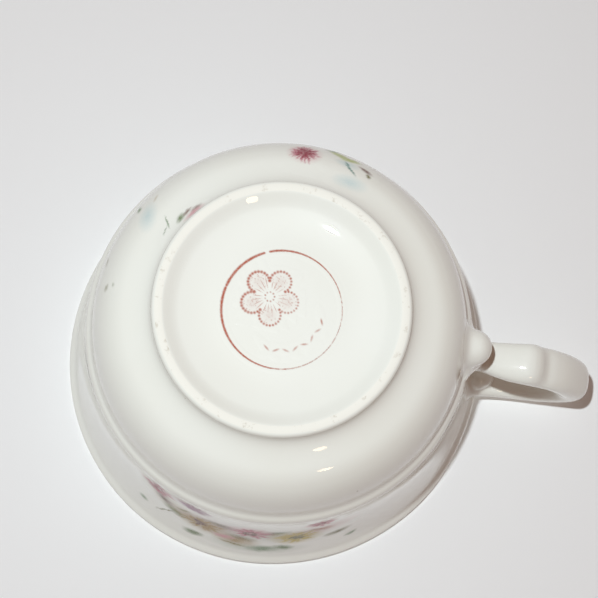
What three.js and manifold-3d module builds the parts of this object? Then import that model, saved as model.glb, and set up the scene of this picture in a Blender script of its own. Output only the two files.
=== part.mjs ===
// A porcelain tea cup with a loop handle, in millimetres, +Z up, standing on its foot ring.
// The handle points along +X. The origin is at the middle of the outline, on the table.
import * as THREE from 'three';
import { mergeVertices } from 'three/addons/utils/BufferGeometryUtils.js';
import Module from 'manifold-3d';

const wasm = await Module();
wasm.setup();

// Body
const cupHeight = 54;
const rimRadius = 46;
const lipFlare = 2.0; // how far the lip turns out past the wall
const lipDrop = 3.2; // how far below the edge the lip starts to turn
const lipThickness = 1.3;
const shoulderRadius = 40.5;
const shoulderHeight = 22;
const shoulderStep = 1.6; // the small ledge where the belly tucks in under the wall
const wall = 2.1;
const floorThickness = 2.7;

// Foot ring
const footRadius = 26;
const footWidth = 3;
const footFlat = 1.2; // the unglazed flat that stands on the table
const footDepth = 1.9; // recess inside the ring
const footRise = 3.4; // where the ring runs into the belly

// Handle
const handleReach = 22.6; // how far the loop stands out past the rim
const bandWidth = 8.6;
const bandThickness = 4.6;
const lowerArmHeight = 30.4; // middle of the lower arm
const upperArmDrop = 3.7; // middle of the upper arm, below the rim
const knobRadius = 3.9;
const knobHeight = 20.5;
const thumbBump = 1.1; // how far the bump stands off the lower arm
const lowerRootSwell = 0.2; // how much wider the band is where it meets the wall
const upperRootSwell = 1.1;

// Joints
const slipThickness = 0.8;
const slipBead = 0.35; // how far the luting slip squeezes out round the joint
const gap = 0.3;

const turns = 64;
const axisX = -handleReach / 2;

function vector(r, z) {
  return new THREE.Vector2(r, z);
}

function cubic(a, b, c, d, steps) {
  return new THREE.CubicBezierCurve(a, b, c, d).getPoints(steps);
}

// Points moved sideways: a positive distance goes outwards from the cup.
function offset(points, distance) {
  return points.map((point, i) => {
    const before = points[Math.max(i - 1, 0)];
    const after = points[Math.min(i + 1, points.length - 1)];
    const along = after.clone().sub(before).normalize();
    return vector(point.x + along.y * distance, point.y - along.x * distance);
  });
}

function lathe(profile) {
  const geometry = new THREE.LatheGeometry(profile, turns);
  geometry.rotateX(Math.PI / 2);
  return geometry;
}

function toSolid(geometry) {
  geometry.deleteAttribute('normal');
  geometry.deleteAttribute('uv');
  const merged = mergeVertices(geometry, 1e-4);
  return new wasm.Manifold(new wasm.Mesh({
    numProp: 3,
    vertProperties: merged.attributes.position.array,
    triVerts: new Uint32Array(merged.index.array),
  }));
}

function toGeometry(solid) {
  const mesh = solid.getMesh();
  const geometry = new THREE.BufferGeometry();
  geometry.setAttribute('position', new THREE.BufferAttribute(mesh.vertProperties, 3));
  geometry.setIndex(new THREE.BufferAttribute(mesh.triVerts, 1));
  geometry.computeVertexNormals();
  return geometry;
}

// ---- The outline of the cup, from the foot ring up to the lip ----

const bellyRadius = shoulderRadius - shoulderStep;
const bellyTop = shoulderHeight - shoulderStep;
const bellyRun = bellyRadius - footRadius;
const bellyRise = bellyTop - footRise;
const wallTop = cupHeight - lipDrop;
const wallTopRadius = rimRadius - lipFlare;
const wallRun = wallTopRadius - shoulderRadius;
const wallRise = wallTop - shoulderHeight;

const belly = cubic(
  vector(footRadius + 0.1, footRise),
  vector(footRadius + bellyRun * 0.56, footRise + bellyRise * 0.1),
  vector(bellyRadius - bellyRun * 0.02, footRise + bellyRise * 0.5),
  vector(bellyRadius, bellyTop),
  9,
);

const wallCurve = cubic(
  vector(shoulderRadius, shoulderHeight),
  vector(shoulderRadius + wallRun * 0.1, shoulderHeight + wallRise * 0.45),
  vector(wallTopRadius - wallRun * 0.3, wallTop - wallRise * 0.2),
  vector(wallTopRadius, wallTop),
  7,
);

const lipCurve = cubic(
  vector(wallTopRadius, wallTop),
  vector(wallTopRadius + lipFlare * 0.25, wallTop + lipDrop * 0.45),
  vector(rimRadius - 0.05, cupHeight - 1.5),
  vector(rimRadius, cupHeight - 0.6),
  4,
);

const outerSkin = [...belly, ...wallCurve, ...lipCurve.slice(1)];

// The inside runs smoothly past the ledge, and thins towards the lip.
function insideProfile() {
  const smooth = [...belly.slice(0, -1), ...wallCurve.slice(1, -1)];
  const innerLip = cubic(
    vector(wallTopRadius - wall, wallTop),
    vector(wallTopRadius - wall + lipFlare * 0.3, wallTop + lipDrop * 0.4),
    vector(rimRadius - lipThickness, cupHeight - 1.4),
    vector(rimRadius - lipThickness, cupHeight - 0.5),
    4,
  );
  const edge = [
    vector(rimRadius - lipThickness * 0.75, cupHeight - 0.1),
    vector(rimRadius - lipThickness * 0.5, cupHeight),
    vector(rimRadius - lipThickness * 0.2, cupHeight - 0.15),
  ];
  return [...offset(smooth, -wall), ...innerLip, ...edge];
}

function bodyProfile() {
  const flatMiddle = footRadius - footWidth / 2;
  return [
    vector(0, footDepth + 0.1),
    vector(footRadius - footWidth - 3, footDepth),
    vector(footRadius - footWidth - 0.2, footDepth - 0.3),
    vector(flatMiddle - footFlat / 2 - 0.3, 0.3),
    vector(flatMiddle - footFlat / 2, 0),
    vector(flatMiddle + footFlat / 2, 0),
    vector(flatMiddle + footFlat / 2 + 0.45, 0.35),
    vector(footRadius - 0.1, footRise * 0.5),
    ...outerSkin,
    ...insideProfile().reverse(),
    vector(footRadius * 0.6, footDepth + floorThickness + 0.1),
    vector(0, footDepth + floorThickness),
  ];
}

const bodySolid = toSolid(lathe(bodyProfile()));

// The space inside a skin that stands a little way off the cup, for cutting the joints.
// It runs straight past the ledge, so that it never folds over itself there.
function skinSolid(distance) {
  const skin = offset([...belly.slice(0, -1), ...wallCurve, ...lipCurve.slice(1)], distance);
  const first = skin[0];
  const last = skin[skin.length - 1];
  return toSolid(lathe([vector(0, first.y), ...skin, vector(0, last.y)]));
}

// ---- The handle ----

const upperArmHeight = cupHeight - upperArmDrop;
const tipRadius = rimRadius + handleReach - bandThickness / 2;
const loopRise = upperArmHeight - lowerArmHeight;
const innerEnd = shoulderRadius - wall;
const armRun = tipRadius - innerEnd;

function handlePath() {
  const point = (run, rise) =>
    new THREE.Vector3(innerEnd + armRun * run, 0, lowerArmHeight + loopRise * rise);
  return new THREE.CatmullRomCurve3([
    point(0, -0.04),
    point(0.22, 0),
    point(0.45, 0),
    point(0.66, 0.07),
    point(0.87, 0.25),
    point(1, 0.53),
    point(0.93, 0.82),
    point(0.72, 0.97),
    point(0.48, 1),
    point(0.24, 0.98),
    point(0.08, 0.96),
  ]);
}

function bandSection(extra) {
  const shape = new THREE.Shape();
  shape.absellipse(0, 0, bandWidth / 2 + extra, bandThickness / 2 + extra, 0, Math.PI * 2);
  return shape;
}

function ball(radius, x, z, stretch) {
  const geometry = new THREE.SphereGeometry(radius, 18, 12);
  geometry.scale(stretch.x, stretch.y, stretch.z);
  geometry.translate(x, 0, z);
  return toSolid(geometry);
}

// The whole casting, still running into the wall, and grown by extra all round.
function handleBlank(extra) {
  const band = new THREE.ExtrudeGeometry(bandSection(extra), {
    steps: 38,
    curveSegments: 9,
    extrudePath: handlePath(),
  });
  const halfBand = bandThickness / 2;
  const round = new THREE.Vector3(1, 1, 1);
  const lowerRoot = bandWidth / 2 + lowerRootSwell + extra;
  const upperRoot = bandWidth / 2 + upperRootSwell + extra;
  const stemHeight = (lowerArmHeight + knobHeight) / 2;
  const stemReach = (lowerArmHeight - knobHeight) / 2 + knobRadius * 0.3;
  const stemStretch = new THREE.Vector3(0.7, 1, stemReach / lowerRoot);
  const upperStretch = new THREE.Vector3(0.9, 1, 0.55);
  const bump = bandWidth / 2 - 0.4;
  const bumpStretch = new THREE.Vector3(1, 1, 0.6);
  const bumpX = innerEnd + armRun * 0.49;
  const bumpHeight = lowerArmHeight - halfBand - thumbBump + bump * bumpStretch.z;
  return toSolid(band)
    .add(ball(knobRadius + extra, shoulderRadius + 0.6, knobHeight, round))
    .add(ball(lowerRoot, shoulderRadius, stemHeight, stemStretch))
    .add(ball(upperRoot, wallTopRadius - 1, upperArmHeight - 1, upperStretch))
    .add(ball(bump, bumpX, bumpHeight, bumpStretch));
}

const handleSolid = handleBlank(0).subtract(skinSolid(gap * 2 + slipThickness));

// ---- The luting slip that joins the handle to the cup, at the foot end and at the rim end ----

const slipLayer = skinSolid(gap + slipThickness).subtract(skinSolid(gap));
const slipSolid = handleBlank(slipBead).intersect(slipLayer);

function slipBetween(low, high) {
  const box = new THREE.BoxGeometry(rimRadius, bandWidth * 4, high - low);
  box.translate(rimRadius, 0, (low + high) / 2);
  return slipSolid.intersect(toSolid(box));
}

// ---- The assembly ----

const porcelain = { color: 0xf0efe6, roughness: 0.12, metalness: 0 };
const driedSlip = { color: 0xf2ede0, roughness: 0.3, metalness: 0 };

function piece(name, solid, look) {
  const mesh = new THREE.Mesh(toGeometry(solid), new THREE.MeshStandardMaterial(look));
  mesh.name = name;
  mesh.position.x = axisX;
  return mesh;
}

const group = new THREE.Group();
group.add(piece('body', bodySolid, porcelain));
group.add(piece('handle', handleSolid, porcelain));
group.add(piece('lower_luting_slip', slipBetween(0, lowerArmHeight + loopRise / 2), driedSlip));
group.add(piece('upper_luting_slip', slipBetween(lowerArmHeight + loopRise / 2, cupHeight), driedSlip));

export default group;
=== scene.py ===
import bisect
import math
import random

import bmesh
import bpy
from mathutils import Matrix, Vector, noise
from mathutils.bvhtree import BVHTree
from mathutils.geometry import interpolate_bezier


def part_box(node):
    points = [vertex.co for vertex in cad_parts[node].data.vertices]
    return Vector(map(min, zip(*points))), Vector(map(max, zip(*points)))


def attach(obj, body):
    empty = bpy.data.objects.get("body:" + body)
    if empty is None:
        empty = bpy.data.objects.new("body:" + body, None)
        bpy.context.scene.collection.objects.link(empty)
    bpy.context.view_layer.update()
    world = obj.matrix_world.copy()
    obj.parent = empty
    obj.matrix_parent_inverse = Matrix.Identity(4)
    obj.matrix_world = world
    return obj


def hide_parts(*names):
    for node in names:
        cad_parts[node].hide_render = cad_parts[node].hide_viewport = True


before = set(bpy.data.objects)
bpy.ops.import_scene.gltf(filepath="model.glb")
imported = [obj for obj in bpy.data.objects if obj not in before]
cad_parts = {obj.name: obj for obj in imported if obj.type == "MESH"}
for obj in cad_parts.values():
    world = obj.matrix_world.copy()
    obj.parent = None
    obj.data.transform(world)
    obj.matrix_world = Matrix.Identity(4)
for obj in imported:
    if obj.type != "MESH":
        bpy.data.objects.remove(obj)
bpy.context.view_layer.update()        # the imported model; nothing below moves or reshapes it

mm = 0.001
noise.seed_set(11)       # the clock would seed noise_vector, and every run would differ

# The cup's axis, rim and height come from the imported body
cupLow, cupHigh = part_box("body")
cupAxis = (cupLow.x + cupHigh.x) / 2 / mm
rimRadius = (cupHigh.x - cupLow.x) / 2 / mm
cupHeight = cupHigh.z / mm


# Helpers that every piece uses

def linear(hexColour):
    # sRGB hex to the linear colour that shaders want
    values = [int(hexColour[i:i + 2], 16) / 255 for i in (1, 3, 5)]
    return tuple(v / 12.92 if v <= 0.04045 else ((v + 0.055) / 1.055) ** 2.4 for v in values) + (1.0,)


def addNode(tree, kind, settings=None, links=None):
    # settings: a socket name or number, or a property of the node; links: input -> output socket
    node = tree.nodes.new(kind)
    for name, value in (settings or {}).items():
        if isinstance(name, int) or name in node.inputs:
            node.inputs[name].default_value = value
        else:
            setattr(node, name, value)
    for name, source in (links or {}).items():
        tree.links.new(source, node.inputs[name])
    return node


def newMaterial(name):
    material = bpy.data.materials.new(name)
    material.use_nodes = True
    tree = material.node_tree
    tree.nodes.clear()
    output = addNode(tree, "ShaderNodeOutputMaterial")
    return material, tree, output


def finishObject(bm, name, materials, smooth=True):
    # makes an object that sits at the origin, unturned and unscaled
    mesh = bpy.data.meshes.new(name)
    bm.to_mesh(mesh)
    bm.free()
    for polygon in mesh.polygons:
        polygon.use_smooth = smooth
    for material in materials:
        mesh.materials.append(material)
    piece = bpy.data.objects.new(name, mesh)
    bpy.context.collection.objects.link(piece)
    return piece


def edgesOf(verts):
    # each edge once, in a fixed order, which a set doesn't give
    return list(dict.fromkeys(edge for vert in verts for edge in vert.link_edges))


def bezier(a, b, c, d, steps):
    # a flat cubic curve through (radius, height) points, without its first point
    corners = [Vector((p[0], p[1], 0)) for p in (a, b, c, d)]
    return [(p.x, p.y) for p in interpolate_bezier(*corners, steps + 1)][1:]


# The cup's outline, in mm from its axis and above the table

cupShape = {
    "foot": 26.0,           # outer radius of the foot ring
    "shoulder": 40.5,       # where the wall starts, above the belly
    "shoulderHeight": 22.0,
    "ledgeBelow": 1.4,      # the ledge starts this far under that height
    "ledgeAbove": 0.8,      # and ends this far over it
    "ledge": 1.65,          # how far the belly tucks in under the wall
    "lipFlare": 2.0,
    "lipDrop": 3.2,
    "floor": 4.9,           # height of the floor inside
    "recess": 2.6,          # depth of the hollow under the foot
    "oval": 0.012,          # the rim is pulled this much out of round in the kiln
    "ovalTurn": -41.0,      # and its long way lies at this angle from the handle
    "ripple": 0.05,         # how uneven the wall is
    "rippleLength": 16,     # how far apart its waves are
    "rippleFrom": 30,       # and the radius where they start
    "lean": (0.1, 0.5),     # and how far the rim leans off the foot
    "flat": 0.8,            # and how far it is flattened behind the handle
    "flatTurn": 5,          # about this angle
    "flatWidth": 24,        # and this many degrees to either side
    "flatFade": (47, 60),   # fading out between these radii, so that the handle keeps its shape
    "bareCrest": (23.5, 25.6),      # the glaze is wiped off the foot ring between these radii
}

bellyRadius = cupShape["shoulder"] - cupShape["ledge"]
bellyTop = cupShape["shoulderHeight"] - cupShape["ledgeBelow"]
wallFoot = cupShape["shoulderHeight"] + cupShape["ledgeAbove"]
wallTop = cupHeight - cupShape["lipDrop"]
wallTopRadius = rimRadius - cupShape["lipFlare"]
recess = cupShape["recess"]

recessLine = [(r, recess) for r in (0.0, 3.0, 6.0, 9.0, 12.0, 13.8)]
recessLine += bezier((13.8, recess), (16.07, recess), (18.33, recess - 0.27), (20.6, recess - 0.79), 11)
recessLine += bezier((20.6, recess - 0.79), (21.7, recess - 1.04), (22.9, 0.55), (23.6, 0.14), 9)
crestLine = bezier((23.6, 0.14), (24.0, -0.05), (25.1, -0.05), (25.5, 0.14), 7)
crestLine = [(r, max(z, 0.0)) for r, z in crestLine]
skinLine = bezier((25.5, 0.14), (25.9, 0.35), (26.0, 0.8), (26.0, 1.5), 5)
skinLine += bezier((26.0, 1.5), (26.05, 3.7), (28.4, 4.9), (31.5, 6.1), 9)
skinLine += bezier(
    (31.5, 6.1), (36.0, 7.85), (bellyRadius - 0.5, 12.7), (bellyRadius, bellyTop - 1.6), 20)
skinLine += bezier(
    (bellyRadius, bellyTop - 1.6), (bellyRadius + 0.12, bellyTop - 0.3),
    (bellyRadius + 0.3, bellyTop + 0.5), (bellyRadius + 0.85, bellyTop + 1.0), 6)
skinLine += bezier(
    (bellyRadius + 0.85, bellyTop + 1.0), (bellyRadius + 1.3, bellyTop + 1.4),
    (cupShape["shoulder"] - 0.05, wallFoot - 0.3), (cupShape["shoulder"] + 0.06, wallFoot + 0.9), 7)
skinLine += bezier(
    (cupShape["shoulder"] + 0.06, wallFoot + 0.9), (cupShape["shoulder"] + 0.35, 34),
    (wallTopRadius - 1.5, wallTop - 6.5), (wallTopRadius + 0.4, wallTop), 22)
skinLine += bezier(
    (wallTopRadius + 0.4, wallTop), (wallTopRadius + 0.8, wallTop + 1.35),
    (rimRadius - 0.3, cupHeight - 1.75), (rimRadius - 0.04, cupHeight - 0.8), 8)
edgeLine = bezier(
    (rimRadius - 0.04, cupHeight - 0.8), (rimRadius + 0.04, cupHeight - 0.2),
    (rimRadius - 0.35, cupHeight), (rimRadius - 0.65, cupHeight), 5)
edgeLine += bezier(
    (rimRadius - 0.65, cupHeight), (rimRadius - 1.05, cupHeight),
    (rimRadius - 1.3, cupHeight - 0.35), (rimRadius - 1.35, cupHeight - 1.0), 5)
insideLine = bezier(
    (rimRadius - 1.35, cupHeight - 1.0), (rimRadius - 1.6, cupHeight - 2.4),
    (wallTopRadius - 1.75, wallTop + 0.6), (wallTopRadius - 1.9, wallTop - 0.6), 6)
insideLine += bezier(
    (wallTopRadius - 1.9, wallTop - 0.6), (wallTopRadius - 3.0, wallTop - 6.2),
    (cupShape["shoulder"] - 1.8, 36), (cupShape["shoulder"] - 2.1, wallFoot + 0.5), 16)
insideLine += bezier(
    (cupShape["shoulder"] - 2.1, wallFoot + 0.5), (cupShape["shoulder"] - 2.6, 13.5),
    (34.2, 8.6), (27.6, 6.2), 20)
insideLine += bezier((27.6, 6.2), (22.0, 4.9), (14.0, cupShape["floor"]), (0, cupShape["floor"]), 10)


def firingWarp(point):
    # the kiln pulls the rim oval, leans it and flattens it behind the handle; input and output in mm
    x, y, z = point.x - cupAxis, point.y, point.z
    turn = math.degrees(math.atan2(y, x))
    radius = max(math.hypot(x, y), 1e-6)
    rise = min(max(z, 0) / cupHeight, 1.0)
    long = math.radians(turn - cupShape["ovalTurn"])
    stretch = 1 + cupShape["oval"] * rise * rise * math.cos(2 * long)
    if radius > cupShape["rippleFrom"]:
        spot = Vector((x, y, z * 0.6)) / cupShape["rippleLength"]
        stretch += cupShape["ripple"] / radius * rise * noise.noise(spot)
    near, far = cupShape["flatFade"]
    fade = min(max((far - radius) / (far - near), 0), 1)
    aside = (turn - cupShape["flatTurn"]) / cupShape["flatWidth"]
    stretch -= cupShape["flat"] / radius * fade * rise * rise * math.exp(-aside ** 4)
    lean = rise ** 1.5
    return Vector((cupAxis + x * stretch + cupShape["lean"][0] * lean,
                   y * stretch + cupShape["lean"][1] * lean, z))


def settle(bm):
    # warps a finished piece with the cup and turns millimetres into metres
    for vert in bm.verts:
        vert.co = firingWarp(vert.co) * mm


def spinOutline(outline, steps):
    # turns an outline round the cup's axis
    bm = bmesh.new()
    verts = [bm.verts.new((cupAxis + r, 0, z)) for r, z in outline]
    edges = [bm.edges.new(pair) for pair in zip(verts, verts[1:])]
    bmesh.ops.spin(
        bm, geom=verts + edges, cent=(cupAxis, 0, 0), axis=(0, 0, 1), angle=math.tau,
        steps=steps, use_merge=True, use_duplicate=False)
    bmesh.ops.remove_doubles(bm, verts=bm.verts, dist=1e-4)
    # spin makes its faces in no fixed order, so they are sorted by their corners
    bm.verts.index_update()
    count = len(bm.verts)
    bm.faces.sort(key=lambda f: min(v.index for v in f.verts) * count + max(v.index for v in f.verts))
    bmesh.ops.recalc_face_normals(bm, faces=bm.faces)
    return bm


# Hard porcelain under a clear feldspar glaze, dipped and fired: a warm white body seen through glass
porcelainLook = {
    "white": "#F2F3EE",
    "shade": "#EDEDE5",     # slight cloudiness in the body
    "cloud": 22,            # mm
    "speck": "#8A7B66",
    "speckSpacing": 9,      # mm between possible iron specks
    "speckSize": 0.028,     # share of that spacing
    "speckShare": 0.4,      # how many of the possible places hold one
    "speckStrength": 0.55,
    "unevenness": 7,        # mm between the glaze's faint waves
    "waveHeight": 0.4,      # mm
    "waveStrength": 0.045,
    "gloss": 0.02,          # roughness of the glaze
    "castGloss": 0.07,      # and of the thicker, slower glaze on the handle
    "biscuit": "#F0EEE6",
    "grime": "#9C8A6C",
    "grimeSize": 2.6,       # mm
    "grimeRange": (0.56, 0.74),     # the noise values where it starts and is thickest
    "grimeMost": 0.6,
    "grit": 0.4,            # mm
    "gritHeight": 0.08,     # mm
}


def glazeShader(tree, position, colour, gloss, coat=None):
    # fired glaze is never quite level: faint waves that break up a highlight
    waves = addNode(tree, "ShaderNodeTexNoise", {
        "Scale": 1 / (porcelainLook["unevenness"] * mm), "Detail": 2.0}, {"Vector": position})
    bump = addNode(tree, "ShaderNodeBump", {
        "Strength": porcelainLook["waveStrength"], "Distance": porcelainLook["waveHeight"] * mm},
        {"Height": waves.outputs[0]}).outputs[0]
    shader = addNode(tree, "ShaderNodeBsdfPrincipled", {
        "Roughness": 0.4, "IOR": 1.5, "Coat Weight": 1.0, "Coat Roughness": gloss, "Coat IOR": 1.5,
        "Specular IOR Level": 0.1,
    }, {"Base Color": colour, "Normal": bump, "Coat Normal": bump})
    if coat:
        tree.links.new(coat, shader.inputs["Coat Weight"])
    return shader


def cloudyWhite(tree, position):
    # the faint mottling of the white body
    clouds = addNode(tree, "ShaderNodeTexNoise", {
        "Scale": 1 / (porcelainLook["cloud"] * mm), "Detail": 3.0, "Roughness": 0.5}, {"Vector": position})
    return addNode(tree, "ShaderNodeMix", {
        "data_type": "RGBA", 6: linear(porcelainLook["white"]), 7: linear(porcelainLook["shade"])},
        {0: clouds.outputs[0]}).outputs[2]


def makeGlaze(name, gloss):
    material, tree, output = newMaterial(name)
    position = addNode(tree, "ShaderNodeTexCoord").outputs["Object"]
    white = cloudyWhite(tree, position)
    # iron specks: some of the cells hold a dot, up to half a millimetre across
    cells = addNode(tree, "ShaderNodeTexVoronoi", {
        "Scale": 1 / (porcelainLook["speckSpacing"] * mm)}, {"Vector": position})
    near = addNode(tree, "ShaderNodeMath", {
        "operation": "LESS_THAN", 1: porcelainLook["speckSize"]}, {0: cells.outputs["Distance"]})
    pick = addNode(tree, "ShaderNodeSeparateColor", {}, {0: cells.outputs["Color"]})
    rare = addNode(tree, "ShaderNodeMath", {
        "operation": "GREATER_THAN", 1: 1 - porcelainLook["speckShare"]}, {0: pick.outputs[0]})
    dots = addNode(tree, "ShaderNodeMath", {
        "operation": "MULTIPLY"}, {0: near.outputs[0], 1: rare.outputs[0]})
    strength = addNode(tree, "ShaderNodeMath", {
        "operation": "MULTIPLY", 1: porcelainLook["speckStrength"]}, {0: dots.outputs[0]})
    colour = addNode(tree, "ShaderNodeMix", {
        "data_type": "RGBA", 7: linear(porcelainLook["speck"])}, {0: strength.outputs[0], 6: white})
    shader = glazeShader(tree, position, colour.outputs[2], gloss)
    tree.links.new(shader.outputs[0], output.inputs[0])
    return material


def makeBiscuit():
    # bare fired porcelain, wiped clean of glaze: a dry cream edge that holds grime
    material, tree, output = newMaterial("bareBiscuit")
    position = addNode(tree, "ShaderNodeTexCoord").outputs["Object"]
    grime = addNode(tree, "ShaderNodeTexNoise", {
        "Scale": 1 / (porcelainLook["grimeSize"] * mm), "Detail": 5.0, "Roughness": 0.7},
        {"Vector": position})
    clean, dirty = porcelainLook["grimeRange"]
    spread = addNode(tree, "ShaderNodeMapRange", {
        1: clean, 2: dirty, 3: 0.0, 4: porcelainLook["grimeMost"]}, {0: grime.outputs[0]})
    colour = addNode(tree, "ShaderNodeMix", {
        "data_type": "RGBA", 6: linear(porcelainLook["biscuit"]), 7: linear(porcelainLook["grime"])},
        {0: spread.outputs[0]})
    grit = addNode(tree, "ShaderNodeTexNoise", {
        "Scale": 1 / (porcelainLook["grit"] * mm), "Detail": 2.0}, {"Vector": position})
    bump = addNode(tree, "ShaderNodeBump", {
        "Strength": 0.35, "Distance": porcelainLook["gritHeight"] * mm}, {"Height": grit.outputs[0]})
    shader = addNode(tree, "ShaderNodeBsdfPrincipled", {"Roughness": 0.72, "IOR": 1.5},
                     {"Base Color": colour.outputs[2], "Normal": bump.outputs[0]})
    tree.links.new(shader.outputs[0], output.inputs[0])
    return material


bodyGlaze = makeGlaze("clearGlazedPorcelain", porcelainLook["gloss"])
biscuit = makeBiscuit()
print("materials made")


# The body is turned from one outline, as a jigger turns it

bodyMesh = {"steps": 144}

bm = spinOutline(recessLine + crestLine + skinLine + edgeLine + insideLine, bodyMesh["steps"])
bareFrom, bareTo = cupShape["bareCrest"]
for face in bm.faces:
    # the crest of the foot ring is wiped bare
    centre = face.calc_center_median()
    radius = math.hypot(centre.x - cupAxis, centre.y)
    face.material_index = 1 if centre.z < 0.1 and bareFrom < radius < bareTo else 0
settle(bm)
body = finishObject(bm, "cupBody", [bodyGlaze, biscuit])
smoothing = body.modifiers.new("smooth", "SUBSURF")
smoothing.levels = smoothing.render_levels = 1
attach(body, "root")
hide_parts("body")
print("body turned")


# Transfer print: ceramic colours fired at low heat onto the glaze, soft and a little worn
printColours = {
    "crimson": "#8E2139",
    "rose": "#B6526C",
    "blush": "#D2919C",
    "mauve": "#A0708F",
    "leaf": "#5F7440",
    "sage": "#7C9374",
    "lime": "#B9C47E",
    "olive": "#6C672E",
    "yellow": "#BFA93C",
    "ochre": "#A3823F",
    "brown": "#6E463A",
    "teal": "#4E8178",
    "sky": "#B3CDD2",
    "iron": "#AE4B2A",
    "speck": "#6E6555",
}

printLook = {
    "grain": 0.45,          # mm between worn spots
    "worn": 0.75,           # how much colour is left on them
    "dull": 0.25,           # how glossy the thickest colour is
    "lift": 0.035,          # mm that the colour stands off the glaze
    "sunk": 0.012,          # and that its bare edges lie under it
    "margin": 1.3,          # mm of bare sheet kept round each touch
}

# Arc length along the outside from the foot, so that paint can be laid out flat in mm
skinRun = [0.0]
for here, there in zip(skinLine, skinLine[1:]):
    skinRun.append(skinRun[-1] + math.hypot(there[0] - here[0], there[1] - here[1]))


def skinAt(run):
    # radius and height of the outside, this far along from the foot
    index = min(max(bisect.bisect(skinRun, run) - 1, 0), len(skinRun) - 2)
    share = (run - skinRun[index]) / (skinRun[index + 1] - skinRun[index])
    (r0, z0), (r1, z1) = skinLine[index], skinLine[index + 1]
    return r0 + (r1 - r0) * share, z0 + (z1 - z0) * share


def runAt(height):
    # the other way: how far along the outside a height is
    for index, (r, z) in enumerate(skinLine):
        if z >= height:
            return skinRun[index]
    return skinRun[-1]


def stroke(x, y, length, width, turn, colour, strength=0.7, soft=0.5):
    # one touch of colour: a soft ellipse; x and y in the patch's own units
    return (x, y, length / 2, width / 2, math.cos(math.radians(turn)), math.sin(math.radians(turn)),
            linear(printColours[colour])[:3], strength, soft)


def blossom(x, y, size, petals, colour, heart, strength, scale, seed):
    # a daisy of thin petals round a darker heart; scale turns mm into the patch's x units
    rng = random.Random(seed)
    made = []
    for i in range(petals):
        turn = 360 * i / petals + rng.uniform(-7, 7)
        reach = size * rng.uniform(0.72, 1.05)
        middle = reach * 0.55
        made.append(stroke(
            x + math.cos(math.radians(turn)) * middle * scale, y + math.sin(math.radians(turn)) * middle,
            reach * 0.9, size * 3.4 / petals, turn, colour, strength * rng.uniform(0.6, 1.0), 0.7))
    for i in range(7):
        made.append(stroke(
            x + rng.uniform(-0.22, 0.22) * size * scale, y + rng.uniform(-0.22, 0.22) * size,
            size * 0.5, size * 0.22, rng.uniform(0, 180), heart, strength * 0.9, 0.7))
    return made


def printPatch(name, strokes, spot, stretch, low, high, spacing, ragged, gain):
    # paints the strokes on a fine sheet that lies on the cup, and cuts the sheet close round them
    bm = bmesh.new()
    middle = (low[1] + high[1]) / 2
    across = max(2, round((high[0] - low[0]) * stretch(middle) / spacing))
    along = max(2, round((high[1] - low[1]) / spacing))
    bmesh.ops.create_grid(bm, x_segments=across, y_segments=along, size=0.5)
    ink = bm.verts.layers.float_color.new("ink")
    cover = {}
    for vert in bm.verts:
        x = low[0] + (high[0] - low[0]) * (vert.co.x + 0.5)
        y = low[1] + (high[1] - low[1]) * (vert.co.y + 0.5)
        scale = stretch(y)
        wobble = noise.noise_vector(Vector((x * scale, y, 3)) / (ragged * 3)) * ragged
        tone, weight, bare, near = Vector((0, 0, 0)), 0.0, 1.0, 0.0
        for sx, sy, length, width, c, s, colour, strength, soft in strokes:
            dx, dy = (x - sx) * scale, y - sy
            if abs(dx) > length + 3 or abs(dy) > length + 3:
                continue
            dx, dy = dx + wobble.x, dy + wobble.y
            u, v = (dx * c + dy * s) / length, (dy * c - dx * s) / width
            far = math.hypot(u, v)
            near = max(near, printLook["margin"] - (far - 1) * width)
            if far < 1:
                share = min(strength * gain, 0.95) * min((1 - far) / soft, 1)
                tone = tone.lerp(Vector(colour), share / max(share + weight * (1 - share), 1e-6))
                weight = share + weight * (1 - share)
                bare *= 1 - share
        vert[ink] = (*tone, 1 - bare)
        cover[vert] = min(max(near, 0), 1)
        vert.co = spot(x, y)
    dropped = [f for f in bm.faces if max(cover[v] for v in f.verts) < 0.02]
    bmesh.ops.delete(bm, geom=dropped, context="FACES")
    graph = bpy.context.evaluated_depsgraph_get()
    glazed = BVHTree.FromObject(body, graph)
    for vert in bm.verts:
        lift = cover[vert] * cover[vert] * (3 - 2 * cover[vert])
        point, normal, _, _ = glazed.find_nearest(firingWarp(vert.co) * mm)
        vert.co = point + normal * (printLook["lift"] * lift - printLook["sunk"]) * mm
    bmesh.ops.recalc_face_normals(bm, faces=bm.faces)
    middleFace = bm.faces[:][len(bm.faces) // 2]
    _, normal, _, _ = glazed.find_nearest(middleFace.calc_center_median())
    if middleFace.normal.dot(normal) < 0:
        bmesh.ops.reverse_faces(bm, faces=bm.faces)
    patch = finishObject(bm, name, [printGlaze])
    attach(patch, "root")
    return patch


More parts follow.
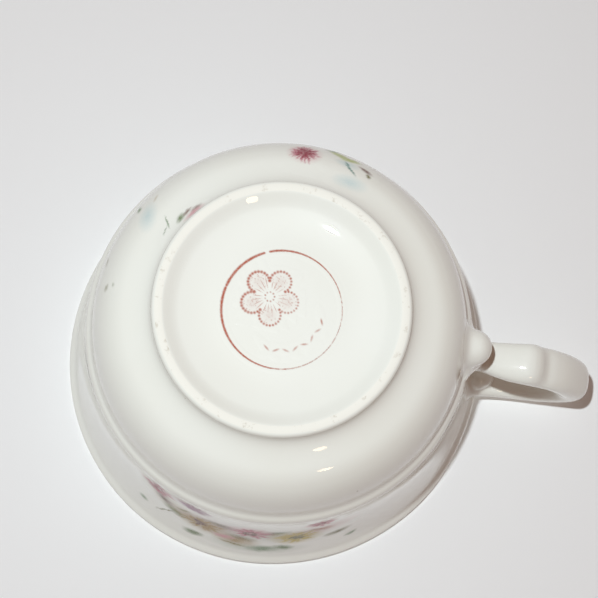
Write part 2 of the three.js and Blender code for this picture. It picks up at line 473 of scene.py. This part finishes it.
def makePrint():
    # the same glaze, with ceramic colour where the ink attribute says
    material, tree, output = newMaterial("overglazeTransferPrint")
    position = addNode(tree, "ShaderNodeTexCoord").outputs["Object"]
    white = cloudyWhite(tree, position)
    ink = addNode(tree, "ShaderNodeAttribute", {"attribute_name": "ink"})
    grain = addNode(tree, "ShaderNodeTexNoise", {
        "Scale": 1 / (printLook["grain"] * mm), "Detail": 3.0, "Roughness": 0.7}, {"Vector": position})
    wear = addNode(tree, "ShaderNodeMapRange", {
        1: 0.3, 2: 0.6, 3: printLook["worn"], 4: 1.0}, {0: grain.outputs[0]})
    amount = addNode(tree, "ShaderNodeMath", {
        "operation": "MULTIPLY"}, {0: ink.outputs["Alpha"], 1: wear.outputs[0]})
    colour = addNode(tree, "ShaderNodeMix", {"data_type": "RGBA"}, {
        0: amount.outputs[0], 6: white, 7: ink.outputs["Color"]})
    # thick colour is duller than the glaze
    dull = addNode(tree, "ShaderNodeMapRange", {3: 1.0, 4: printLook["dull"]}, {0: amount.outputs[0]})
    shader = glazeShader(tree, position, colour.outputs[2], porcelainLook["gloss"], dull.outputs[0])
    tree.links.new(shader.outputs[0], output.inputs[0])
    return material


def wallSpot(angle, run):
    r, z = skinAt(run)
    return Vector((cupAxis + r * math.cos(math.radians(angle)), r * math.sin(math.radians(angle)), z))


def wallStretch(run):
    return math.radians(1) * skinAt(run)[0]


def onWall(angle, height, length, width, turn, colour, strength=0.7, soft=0.5):
    return stroke(angle, runAt(height), length, width, turn, colour, strength, soft)


def wallBlossom(angle, height, size, petals, colour, heart, strength, seed):
    run = runAt(height)
    return blossom(angle, run, size, petals, colour, heart, strength, 1 / wallStretch(run), seed)


printGlaze = makePrint()

# Angles go round the cup from the handle; heights are in mm above the foot
asterSpray = [
    onWall(291, 5.6, 8.5, 4.4, 10, "sky", 0.32, 0.9),
    onWall(287, 7.6, 6.0, 3.0, 0, "sky", 0.35, 0.9),
    onWall(283.5, 9.6, 6.5, 3.0, -25, "lime", 0.65, 0.6),
    onWall(287.5, 9.2, 5.5, 2.4, 20, "lime", 0.6, 0.6),
    onWall(281.0, 11.2, 4.2, 1.5, 30, "sage", 0.5, 0.6),
    onWall(289.0, 6.9, 4.6, 0.6, -35, "teal", 0.8, 0.6),
    onWall(287.0, 7.6, 2.4, 0.6, -50, "teal", 0.65, 0.6),
    onWall(293.5, 8.4, 4.2, 1.6, -15, "brown", 0.5, 0.7),
    onWall(295.5, 7.1, 2.0, 1.2, -50, "olive", 0.55, 0.7),
    onWall(272, 7.7, 8.2, 7.6, 0, "blush", 0.45, 0.9),
]
asterSpray += wallBlossom(272, 7.8, 3.9, 26, "rose", "crimson", 0.75, 4)
asterSpray += wallBlossom(272, 7.9, 2.9, 19, "crimson", "crimson", 0.9, 5)

leafSpray = [
    onWall(210.5, 7.4, 8.5, 5.0, 40, "sky", 0.36, 0.9),
    onWall(211.5, 10.4, 2.8, 1.6, 60, "sage", 0.85, 0.7),
    onWall(212.5, 5.2, 4.0, 0.45, 60, "sage", 0.7, 0.6),
    onWall(209.0, 4.8, 2.6, 0.4, 15, "sage", 0.5, 0.6),
    onWall(217.0, 4.2, 3.2, 2.0, 20, "leaf", 0.65, 0.8),
    onWall(220.8, 4.0, 3.2, 1.2, 10, "brown", 0.7, 0.8),
    onWall(224.5, 3.8, 3.6, 1.4, 0, "brown", 0.5, 0.8),
    onWall(222.5, 3.0, 6.5, 2.2, 0, "blush", 0.6, 0.9),
    onWall(217.5, 8.5, 3.0, 1.0, 30, "ochre", 0.25, 0.8),
    onWall(226.0, 12.0, 4.0, 2.0, 30, "ochre", 0.18, 0.9),
]
scatterSpray = [
    onWall(192, 11.7, 2.6, 1.8, 20, "olive", 0.4, 0.9),
    onWall(183, 9.3, 2.2, 1.6, -30, "olive", 0.5, 0.9),
    onWall(184, 7.8, 1.4, 0.8, 10, "leaf", 0.4, 0.9),
]

garland = [
    # leaves and stems first, blossoms over them
    onWall(125.5, 44, 3.0, 3.2, 20, "sage", 0.5, 0.8),
    onWall(115.0, 37.4, 9.5, 5.0, -35, "leaf", 0.75, 0.8),
    onWall(112.5, 33.5, 5.0, 2.2, 20, "sage", 0.5, 0.7),
    onWall(108.5, 46.5, 6.0, 4.0, 25, "leaf", 0.65, 0.7),
    onWall(100.5, 34.5, 9.0, 4.5, -10, "leaf", 0.75, 0.8),
    onWall(94.5, 40.0, 8.5, 4.8, -20, "olive", 0.8, 0.8),
    onWall(88.0, 46.5, 8.0, 4.5, 10, "sage", 0.6, 0.7),
    onWall(82.0, 45.5, 5.5, 3.8, -30, "leaf", 0.45, 0.7),
    onWall(66.0, 40.5, 8.0, 3.6, 15, "olive", 0.55, 0.8),
    onWall(84.5, 34.0, 8.0, 4.0, 25, "leaf", 0.6, 0.8),
    onWall(71.0, 34.0, 7.0, 4.0, -15, "ochre", 0.5, 0.8),
    onWall(62.0, 45.0, 4.0, 2.0, 35, "sage", 0.4, 0.7),
    onWall(75.5, 34.0, 9.0, 0.7, 20, "olive", 0.5, 0.6),
    onWall(118.0, 41.5, 9.0, 0.7, 55, "olive", 0.4, 0.6),
    onWall(97.0, 45.5, 9.0, 0.8, -15, "olive", 0.4, 0.6),
    # soft grounds of the blossoms
    onWall(113.0, 35.0, 26, 11, -28, "ochre", 0.16, 0.9),
    onWall(99.0, 36.0, 24, 14, 0, "mauve", 0.14, 0.9),
    onWall(84.0, 37.0, 26, 14, 5, "olive", 0.13, 0.9),
    onWall(90.0, 46.0, 26, 7, 0, "sage", 0.16, 0.9),
    onWall(70.0, 34.0, 18, 9, 15, "blush", 0.16, 0.9),
    onWall(105.5, 38.0, 15, 13, 0, "ochre", 0.5, 0.9),
    onWall(96.0, 43.5, 12, 8, 0, "ochre", 0.45, 0.9),
    onWall(91.5, 34.0, 12, 9, 0, "blush", 0.55, 0.9),
    onWall(78.5, 38.5, 13, 12, 0, "yellow", 0.7, 0.8),
    onWall(99.5, 42.0, 6, 4, 0, "blush", 0.5, 0.8),
    onWall(71.5, 28.0, 8, 5, 10, "blush", 0.45, 0.8),
    onWall(110.5, 27.0, 12, 7, -20, "mauve", 0.6, 0.8),
    onWall(121.5, 25.2, 6, 2.6, -15, "mauve", 0.55, 0.8),
    onWall(122.5, 30.5, 10, 5.0, -30, "crimson", 0.75, 0.8),
    onWall(119.0, 34.0, 7.0, 4.0, -40, "brown", 0.55, 0.8),
    onWall(70.5, 27.0, 7.5, 3.0, 0, "crimson", 0.75, 0.8),
]
garland += wallBlossom(121.0, 29.0, 5.0, 13, "rose", "crimson", 0.5, 8)
garland += wallBlossom(109.5, 27.0, 4.6, 12, "mauve", "mauve", 0.5, 9)
garland += wallBlossom(106.5, 38.5, 6.2, 15, "ochre", "brown", 0.5, 10)
garland += wallBlossom(91.5, 35.0, 5.2, 12, "rose", "brown", 0.35, 11)
garland += wallBlossom(78.5, 38.5, 5.6, 14, "yellow", "olive", 0.5, 12)
garland += wallBlossom(71.0, 28.0, 4.0, 11, "rose", "crimson", 0.45, 13)

printPatch("asterPrint", asterSpray, wallSpot, wallStretch,
           (263, runAt(3.0)), (300, runAt(15)), 0.24, 0.25, 1.8)
printPatch("leafPrint", leafSpray, wallSpot, wallStretch,
           (202, runAt(1.2)), (233, runAt(16)), 0.26, 0.25, 1.6)
printPatch("scatterPrint", scatterSpray, wallSpot, wallStretch,
           (178, runAt(6)), (196, runAt(14)), 0.3, 0.25, 1.5)
printPatch("garlandPrint", garland, wallSpot, wallStretch,
           (56, runAt(23.2)), (131, runAt(50.5)), 0.34, 0.5, 3.2)
print("flowers printed")


# The iron-red mark under the foot: a plain wild rose in a ring, from a rubber stamp that was
# inked and pressed unevenly, full on one side and starved on the other
stampLook = {
    "ring": 12.05, "full": 0.78, "starved": 0.22,
    "fullSide": 152,            # degrees, seen from under the cup
    "gaps": ((104, 2.6), (157, 0.7)),
    "turn": 6.4,                # how far the stamp was turned as it was pressed
    "rose": (-2.4, 2.6), "petal": 2.15, "reach": 3.7,
}


def dishSpot(x, y):
    return Vector((cupAxis + x, y, recess))


def flat(y):
    return 1.0


def stampSpot(u, v):
    # the stamp's own page, seen from below, to the cup's x and y
    c, s = math.cos(math.radians(stampLook["turn"])), math.sin(math.radians(stampLook["turn"]))
    return u * c - v * s, -(u * s + v * c)


def stampTouch(u, v, length, width, turn, strength, soft=0.7):
    x, y = stampSpot(u, v)
    return stroke(x, y, length, width, -turn - stampLook["turn"], "iron", strength, soft)


def inking(u, v):
    # how full the ink is here, 0 to 1
    a = math.radians(stampLook["fullSide"])
    return min(max(0.5 + 0.5 * (u * math.cos(a) + v * math.sin(a)) / stampLook["ring"], 0), 1)


rng = random.Random(21)
touches = []
for i in range(300):
    turn = 1.2 * i
    if any(abs(turn - gap) < half for gap, half in stampLook["gaps"]):
        continue
    u = math.cos(math.radians(turn)) * stampLook["ring"]
    v = math.sin(math.radians(turn)) * stampLook["ring"]
    full = inking(u, v)
    width = stampLook["starved"] + (stampLook["full"] - stampLook["starved"]) * full ** 1.3
    strength = (0.42 + 0.4 * full) * rng.uniform(0.7, 1.0)
    if full < 0.35 and rng.random() < 0.3:
        strength *= 0.35
    touches.append(stampTouch(u, v, 0.75, width * rng.uniform(0.85, 1.1), turn + 90, strength, 0.6))

roseU, roseV = stampLook["rose"]
for petal in range(5):
    facing = 54 + 72 * petal
    u = roseU + math.cos(math.radians(facing)) * stampLook["reach"]
    v = roseV + math.sin(math.radians(facing)) * stampLook["reach"]
    for bead in range(-7, 8):
        # beads round each petal's edge
        a = math.radians(facing + bead * 17)
        bu, bv = u + math.cos(a) * stampLook["petal"], v + math.sin(a) * stampLook["petal"]
        full = inking(bu * 1.6, bv * 1.6)
        size = 0.48 + 0.42 * full
        touches.append(stampTouch(bu, bv, size, size, 0, (0.3 + 0.55 * full) * rng.uniform(0.65, 1)))
    touches.append(stampTouch(u, v, 4.4, 4.4, 0, 0.1, 0.9))
    for fleck in range(26):
        # worn flecks where the petal was shaded
        a, off = rng.uniform(0, math.tau), 1.8 * math.sqrt(rng.random())
        touches.append(stampTouch(
            u + math.cos(a) * off, v + math.sin(a) * off, 0.5, 0.2,
            rng.uniform(0, 180), rng.uniform(0.1, 0.35)))
    for line in (-24, -8, 8, 24):
        # fine veins inside it
        a = math.radians(facing + line)
        reach = rng.uniform(2.0, 3.4)
        touches.append(stampTouch(
            roseU + math.cos(a) * (1.3 + reach / 2), roseV + math.sin(a) * (1.3 + reach / 2),
            reach, 0.2, facing + line, 0.42 * rng.uniform(0.5, 1)))
for bead in range(9):
    a = math.radians(40 * bead)
    touches.append(stampTouch(
        roseU + math.cos(a) * 0.95, roseV + math.sin(a) * 0.95, 0.5, 0.5, 0, 0.5 * rng.uniform(0.6, 1)))
for leaf in range(8):
    # a starved row of little leaves along the lower edge
    turn = -112 + leaf * 13.5
    a = math.radians(turn)
    touches.append(stampTouch(
        math.cos(a) * 8.3, math.sin(a) * 8.3, 1.9, 0.55, turn + 90 + (28 if leaf % 2 else -28),
        0.42 * rng.uniform(0.7, 1.1)))
printPatch("footMark", touches, dishSpot, flat, (-13.2, -13.2), (13.2, 13.2), 0.14, 0.03, 1.9)
print("mark stamped")


# The handle is cast in one piece and luted on at both ends

handleShape = {
    # stations along the band: distance from the axis, height, half width, half thickness
    # and shift along y, in mm
    "band": [
        (39.4, 29.7, 3.2, 2.7, -0.6), (42.4, 29.9, 3.15, 2.5, -0.75), (46.0, 30.2, 3.6, 2.35, -0.4),
        (49.2, 30.25, 4.05, 2.5, -0.1), (51.8, 30.15, 4.3, 2.7, 0), (53.9, 30.15, 4.45, 2.95, 0),
        (55.4, 31.2, 4.4, 2.6, 0), (56.9, 32.1, 4.4, 2.1, 0), (58.8, 33.2, 4.4, 2.3, 0),
        (61.0, 35.3, 4.4, 2.8, 0), (63.2, 38.6, 4.4, 3.25, -0.1), (64.95, 42.4, 4.3, 3.5, -0.1),
        (64.2, 46.1, 4.1, 3.1, 0), (61.4, 48.7, 4.0, 2.6, 0), (57.4, 50.1, 3.95, 2.3, 0),
        (52.0, 50.5, 3.9, 2.25, 0), (47.2, 50.1, 4.2, 2.5, 0), (44.0, 49.4, 4.9, 2.9, 0),
        (42.3, 49.1, 5.2, 3.0, 0),
    ],
    "perSpan": 4,
    "sides": 28,
    "flatness": 0.78,       # below 1 the band's section is squarer than an ellipse
    "knob": (40.7, 20.4, 3.8),      # distance from the axis, height and radius
    "knobAside": -0.3,      # the knob sits a little to one side
    "stem": (40.6, 25.4, 3.3, 3.7, 4.8),        # distance, height and three half sizes
    "thumb": (45.6, 47.0, 3.1, 3.4, 2.3),
    "voxel": 0.24,
    "polish": 7,            # rounds of smoothing, as a cast piece is sponged
    "wipe": 12,             # and the slip with a wet brush
    "lowerFillet": (2.5, 0.75),     # how far the slip spreads over the cup, and how soon it thins out
    "upperFillet": (0.9, 0.4),
    "slipSunk": 0.03,       # where the slip has thinned out it lies this far under the handle's skin
    "slipTop": 1.1,         # and it stays this far below the rim
    "rooted": 1.0,          # how far the handle and the slip reach into the wall
}


def splineThrough(points, perSpan):
    # a smooth run through every point
    padded = [points[0] * 2 - points[1]] + points + [points[-1] * 2 - points[-2]]
    run = []
    for p0, p1, p2, p3 in zip(padded, padded[1:], padded[2:], padded[3:]):
        for i in range(perSpan):
            t = i / perSpan
            run.append((p1 * 2 + (p2 - p0) * t + (p0 * 2 - p1 * 5 + p2 * 4 - p3) * t * t
                        + (p1 * 3 - p0 - p2 * 3 + p3) * t * t * t) / 2)
    run.append(points[-1])
    return run


def addBall(bm, x, z, sizes, aside=0):
    place = Matrix.Translation((cupAxis + x, aside, z)) @ Matrix.Diagonal((*sizes, 1))
    bmesh.ops.create_uvsphere(bm, u_segments=32, v_segments=20, radius=1, matrix=place)


def castHandle():
    bm = bmesh.new()
    run = splineThrough([Vector(p) for p in handleShape["band"]], handleShape["perSpan"])
    rings = []
    for i, here in enumerate(run):
        before, after = run[max(i - 1, 0)], run[min(i + 1, len(run) - 1)]
        along = Vector((after.x - before.x, 0, after.y - before.y)).normalized()
        side = Vector((0, 1, 0))
        out = side.cross(along)
        place = Matrix.Translation((cupAxis + here.x, here[4], here.y))
        turn = Matrix((side, out, along)).transposed().to_4x4()
        made = bmesh.ops.create_circle(bm, segments=handleShape["sides"], radius=1)["verts"]
        for vert in made:
            u = math.copysign(abs(vert.co.x) ** handleShape["flatness"], vert.co.x)
            v = math.copysign(abs(vert.co.y) ** handleShape["flatness"], vert.co.y)
            vert.co = place @ turn @ Vector((u * here.z, v * here.w, 0))
        rings.append(edgesOf(made))
    for one, other in zip(rings, rings[1:]):
        bmesh.ops.bridge_loops(bm, edges=one + other)
    for ends in (rings[0], rings[-1]):
        bmesh.ops.holes_fill(bm, edges=ends, sides=0)
    x, z, size = handleShape["knob"]
    addBall(bm, x, z, (size, size, size), handleShape["knobAside"])
    for part in ("stem", "thumb"):
        x, z, *sizes = handleShape[part]
        addBall(bm, x, z, sizes)
    bmesh.ops.recalc_face_normals(bm, faces=bm.faces)
    return bm


def fuse(bm, voxel, polish):
    # melts crossing shapes into one closed skin and rubs it smooth
    mesh = bpy.data.meshes.new("casting")
    bm.to_mesh(mesh)
    bm.free()
    blank = bpy.data.objects.new("casting", mesh)
    bpy.context.collection.objects.link(blank)
    remesh = blank.modifiers.new("fuse", "REMESH")
    remesh.mode = "VOXEL"
    remesh.voxel_size = voxel
    graph = bpy.context.evaluated_depsgraph_get()
    fused = bmesh.new()
    fused.from_mesh(blank.evaluated_get(graph).to_mesh())
    bpy.data.objects.remove(blank)
    bpy.data.meshes.remove(mesh)
    for _ in range(polish):
        bmesh.ops.smooth_vert(
            fused, verts=fused.verts, factor=0.5, use_axis_x=True, use_axis_y=True, use_axis_z=True)
    return fused


def trim(bm, keep):
    # drops what keep() refuses and closes the cut
    bmesh.ops.delete(bm, geom=[v for v in bm.verts if not keep(v)], context="VERTS")
    bmesh.ops.delete(bm, geom=[v for v in bm.verts if not v.link_faces], context="VERTS")
    bmesh.ops.holes_fill(bm, edges=[e for e in bm.edges if e.is_boundary], sides=0)
    bmesh.ops.triangulate(bm, faces=[f for f in bm.faces if len(f.verts) > 4])
    bmesh.ops.recalc_face_normals(bm, faces=bm.faces)


skin = spinOutline(skinLine, 360)
skinTree = BVHTree.FromBMesh(skin)
skin.free()


def heightOffSkin(point):
    # how far a point stands off the cup's outside, and which way is out
    spot, normal, _, _ = skinTree.find_nearest(point)
    outward = Vector((spot.x - cupAxis, spot.y, 0)).normalized()
    if normal.dot(outward) < 0 and abs(normal.z) < 0.9:
        normal = -normal
    return (point - spot).dot(normal), normal


handleMesh = fuse(castHandle(), handleShape["voxel"], handleShape["polish"])
heights = {}
for vert in handleMesh.verts:
    heights[vert.index] = heightOffSkin(vert.co)


def makeJoint(name, low, high, spread, fade):
    # the fired luting slip: it leaves the handle and runs out thinly over the wall
    joint = handleMesh.copy()
    joint.verts.ensure_lookup_table()
    joint.normal_update()
    kept = set()
    for vert in joint.verts:
        off, out = heights[vert.index]
        if low < vert.co.z < high and -handleShape["rooted"] < off < fade * 4:
            kept.add(vert.index)
        swell = spread * math.exp(-max(off, -0.6 * fade) / fade)
        sideways = vert.normal - out * vert.normal.dot(out)
        if sideways.length > 1e-3:
            vert.co += sideways.normalized() * (swell - handleShape["slipSunk"])
        vert.co.z = min(vert.co.z, cupHeight - handleShape["slipTop"])
    for _ in range(handleShape["wipe"]):
        bmesh.ops.smooth_vert(
            joint, verts=joint.verts, factor=0.5, use_axis_x=True, use_axis_y=True, use_axis_z=True)
    chosen = {v for v in joint.verts if v.index in kept}
    trim(joint, lambda v: v in chosen)
    settle(joint)
    return finishObject(joint, name, [handleGlaze])


handleGlaze = makeGlaze("clearGlazedCasting", porcelainLook["castGloss"])
middle = (handleShape["band"][0][1] + handleShape["band"][-1][1]) / 2
lowerJoint = makeJoint("lowerLutingSlip", 0, middle, *handleShape["lowerFillet"])
upperJoint = makeJoint("upperLutingSlip", middle, cupHeight, *handleShape["upperFillet"])
for joint, node in ((lowerJoint, "lower_luting_slip"), (upperJoint, "upper_luting_slip")):
    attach(joint, "root")
    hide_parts(node)

handleMesh.verts.ensure_lookup_table()
offWall = {v: heights[v.index][0] for v in handleMesh.verts}
trim(handleMesh, lambda v: offWall[v] > -handleShape["rooted"])
settle(handleMesh)
handle = finishObject(handleMesh, "cupHandle", [handleGlaze])
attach(handle, "root")
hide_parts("handle")
print("handle cast and luted on")


# Paper, room, light and camera

stageLook = {
    "paper": "#EFEFF0",
    "paperBounceGlow": 0.015,     # stands for light the glossy wall throws back on the paper
    "rimReach": 0.3,        # radius of the sheet against the rim, in metres
    "footReach": 1.5,
    "rimGap": 0.7,          # mm between the rim and that sheet, as paper never lies quite flat
    "rimTuck": 0.6,         # how far the sheet goes in under the rim, in mm
    "footGap": 0.02,        # mm between the foot and its sheet
    "skyUnder": "#664A3C",  # straight below
    "skyOver": "#C9C9C6",   # everything above the horizon
    "skyLeft": "#A3A29F",
    "skyRight": "#8C6854",  # a warm room on the handle's side
    "flash": 1.52,          # watts
    "flashTint": "#F0FAFD",
    "flashSize": 0.014,     # metres
    "flashLeft": 0.035,     # metres from the lens
    "flashUp": 0.074,
    "overhead": 1.6,        # watts; its width and its height over the cup are in metres
    "overheadSize": 0.12,
    "overheadHeight": 0.7,
    "lamp": 0.18,           # a warm room lamp that shows only as a reflection
    "lampTint": "#FFDCAE",
    "lampSize": 0.078,
    "lampAway": (0.29, 0.57, -0.48),    # metres from the cup
}


def makePaper(name, colour):
    # matt white paper with a faint painted glow that stands for bounced light, seen from its front only
    material, tree, output = newMaterial(name)
    matt = addNode(tree, "ShaderNodeBsdfDiffuse", {"Color": linear(colour)})
    # painted glow: the paper gives off a little light of its own, standing in for light the glossy wall
    # throws back on it
    lift = addNode(tree, "ShaderNodeEmission", {"Color": linear(colour), "Strength": stageLook["paperBounceGlow"]})
    front = addNode(tree, "ShaderNodeAddShader", {}, {0: matt.outputs[0], 1: lift.outputs[0]})
    clear = addNode(tree, "ShaderNodeBsdfTransparent")
    facing = addNode(tree, "ShaderNodeNewGeometry")
    mix = addNode(tree, "ShaderNodeMixShader", {}, {
        0: facing.outputs["Backfacing"], 1: front.outputs[0], 2: clear.outputs[0]})
    tree.links.new(mix.outputs[0], output.inputs[0])
    return material


def makeSheet(name, height, reach, hole, flip):
    bm = bmesh.new()
    outer = bmesh.ops.create_circle(bm, segments=96, radius=reach)["verts"]
    outerEdges = edgesOf(outer)
    if hole:
        inner = bmesh.ops.create_circle(bm, segments=96, radius=hole)["verts"]
        bmesh.ops.bridge_loops(bm, edges=outerEdges + edgesOf(inner))
    else:
        bmesh.ops.holes_fill(bm, edges=outerEdges, sides=0)
    for face in bm.faces:
        if (face.normal.z > 0) == flip:
            face.normal_flip()
    bmesh.ops.translate(bm, verts=bm.verts, vec=(cupAxis * mm, 0, height))
    sheet = finishObject(bm, name, [makePaper(name + "White", stageLook["paper"])], smooth=False)
    sheet.visible_shadow = False
    return sheet


# The main view looks at the cup as it stands on its rim: this sheet shows only from below
rimSheet = makeSheet(
    "rimSheet", (cupHeight + stageLook["rimGap"]) * mm, stageLook["rimReach"],
    (rimRadius - stageLook["rimTuck"]) * mm, True)
# and this one lies under the foot and shows only from above
footSheet = makeSheet("footSheet", -stageLook["footGap"] * mm, stageLook["footReach"], 0, False)
footSheet.visible_diffuse = False
footSheet.visible_glossy = False

world = bpy.data.worlds.new("room")
world.use_nodes = True
sky = world.node_tree
looking = addNode(sky, "ShaderNodeTexCoord").outputs["Generated"]
direction = addNode(sky, "ShaderNodeSeparateXYZ", {}, {0: looking})
across = addNode(sky, "ShaderNodeMapRange", {1: -0.8, 2: 0.35}, {0: direction.outputs[0]})
sides = addNode(sky, "ShaderNodeMix", {
    "data_type": "RGBA", 6: linear(stageLook["skyLeft"]), 7: linear(stageLook["skyRight"])},
    {0: across.outputs[0]})
depth = addNode(sky, "ShaderNodeMath", {"operation": "MULTIPLY", 1: -1.0}, {0: direction.outputs[2]})
under = addNode(sky, "ShaderNodeMix", {
    "data_type": "RGBA", 7: linear(stageLook["skyUnder"])}, {0: depth.outputs[0], 6: sides.outputs[2]})
over = addNode(sky, "ShaderNodeMapRange", {1: -0.05, 2: 0.1}, {0: direction.outputs[2]})
shades = addNode(sky, "ShaderNodeMix", {
    "data_type": "RGBA", 7: linear(stageLook["skyOver"])}, {0: over.outputs[0], 6: under.outputs[2]})
sky.links.new(shades.outputs[2], sky.nodes["Background"].inputs[0])
world.cycles.sampling_method = "NONE"
bpy.context.scene.world = world

cameraSet = {
    "lens": 119,
    "aim": (3.7, -13.6),    # mm from the cup's axis, on the rim's plane
    "azimuth": -177.25,
    "elevation": -77.82,
    "roll": -170.94,
    "distance": 446.5,      # mm
}

azimuth, elevation = math.radians(cameraSet["azimuth"]), math.radians(cameraSet["elevation"])
back = Vector((math.sin(azimuth) * math.cos(elevation), -math.cos(azimuth) * math.cos(elevation),
               math.sin(elevation)))
aim = Vector((cupAxis + cameraSet["aim"][0], cameraSet["aim"][1], cupHeight)) * mm
camera = bpy.data.objects.new("camera", bpy.data.cameras.new("camera"))
camera.data.lens = cameraSet["lens"]
camera.data.sensor_width = 36
camera.location = aim + back * cameraSet["distance"] * mm
camera.rotation_mode = "QUATERNION"
look = (-back).to_track_quat("-Z", "Y")
camera.rotation_quaternion = look @ Matrix.Rotation(math.radians(cameraSet["roll"]), 4, "Z").to_quaternion()
camera.data.clip_start = 0.01
bpy.context.collection.objects.link(camera)
bpy.context.scene.camera = camera

right = camera.rotation_quaternion @ Vector((1, 0, 0))
up = camera.rotation_quaternion @ Vector((0, 1, 0))


def addPanel(name, place, target, size, power, colour="#FFFFFF"):
    light = bpy.data.lights.new(name, "AREA")
    light.shape = "DISK"
    light.size = size
    light.energy = power
    light.color = linear(colour)[:3]
    panel = bpy.data.objects.new(name, light)
    panel.location = place
    panel.rotation_mode = "QUATERNION"
    panel.rotation_quaternion = (target - place).to_track_quat("-Z", "Y")
    bpy.context.collection.objects.link(panel)
    return panel


cupMiddle = Vector((cupAxis, 0, cupHeight / 2)) * mm
flashPlace = camera.location - right * stageLook["flashLeft"] + up * stageLook["flashUp"]
addPanel("flash", flashPlace, cupMiddle, stageLook["flashSize"], stageLook["flash"], stageLook["flashTint"])
overheadPlace = cupMiddle + Vector((0, 0, stageLook["overheadHeight"]))
addPanel("overhead", overheadPlace, cupMiddle, stageLook["overheadSize"], stageLook["overhead"])

lampPlace = Vector((cupAxis * mm, 0, 0)) + Vector(stageLook["lampAway"])
lamp = addPanel(
    "roomLamp", lampPlace, cupMiddle, stageLook["lampSize"], stageLook["lamp"], stageLook["lampTint"])
lamp.visible_diffuse = False

scene = bpy.context.scene
scene.view_settings.view_transform = "Standard"
print("stage set")
